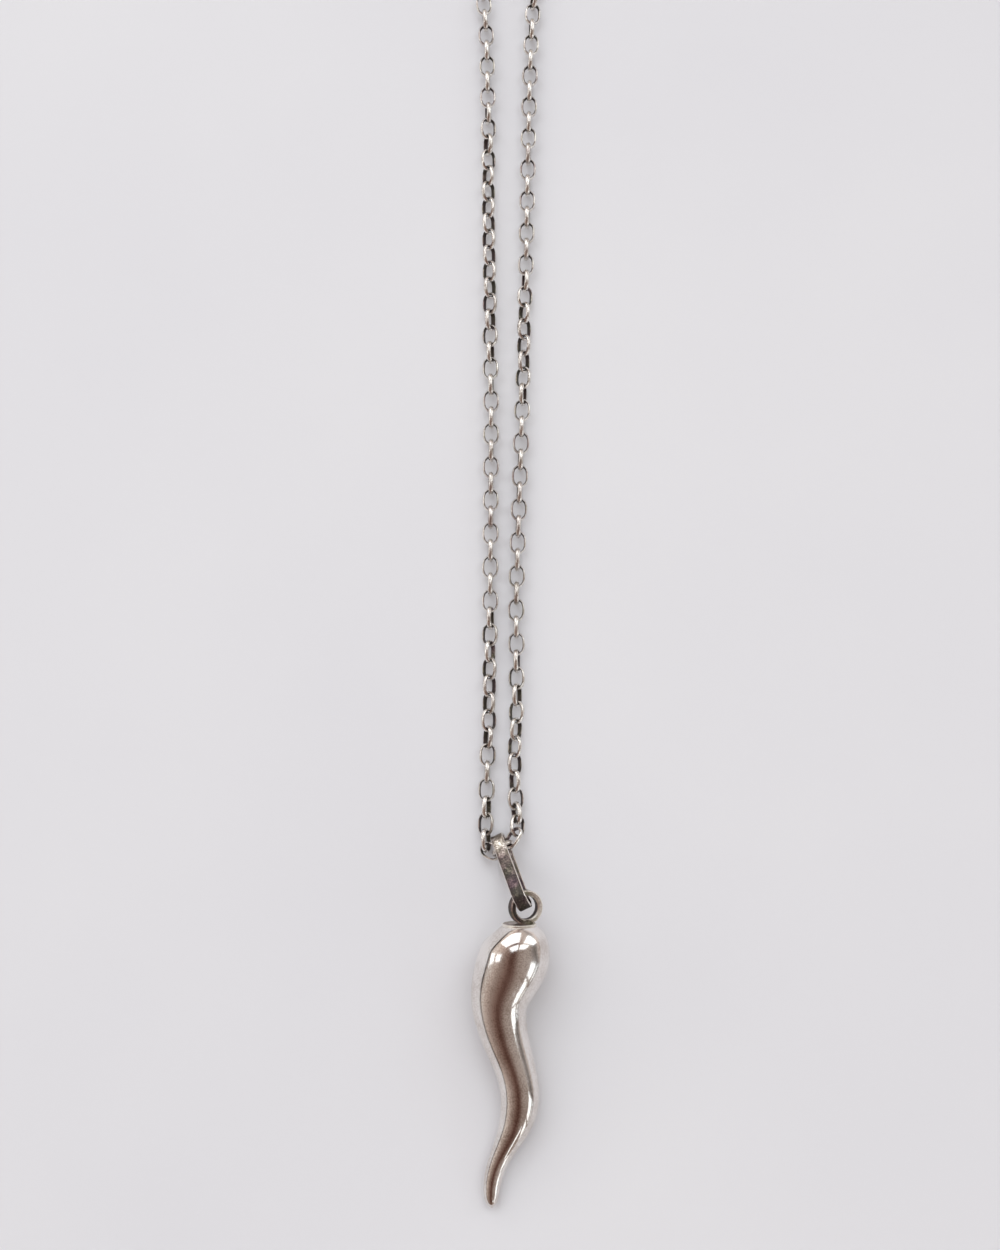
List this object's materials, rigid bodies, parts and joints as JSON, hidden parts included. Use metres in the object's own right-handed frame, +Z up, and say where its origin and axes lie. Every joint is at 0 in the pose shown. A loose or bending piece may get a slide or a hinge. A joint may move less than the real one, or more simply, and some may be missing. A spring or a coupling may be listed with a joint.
{
  "type": "horn pendant necklace",
  "caption": "Curved horn charm with a ring soldered on its cap, hung by a long folded strip bail on a fine oval link chain with a plain ring clasp.",
  "frame": {"origin": "centre of the bounding box on the table plane, under the necklace", "axes": "+Y from the horn's tip towards the clasp, +Z up from the table the necklace lies on, +X to the right seen from above"},
  "size_m": [0.0456, 0.2829, 0.0093],
  "materials": {
    "polished_silver": "mirror-polished silver with fine wear, tarnished in the joints",
    "tarnished_silver": "tarnished silver with a purple-grey patina and fine scratches",
    "chain_silver": "silver, dark in the hollows and worn bright on the edges",
    "clasp_silver": "lightly tarnished silver"
  },
  "bodies": {
    "root": {"horn": "polished_silver", "bail": "tarnished_silver", "chain": "chain_silver", "clasp": "clasp_silver", "end_ring": "clasp_silver"}
  },
  "joints": []
}
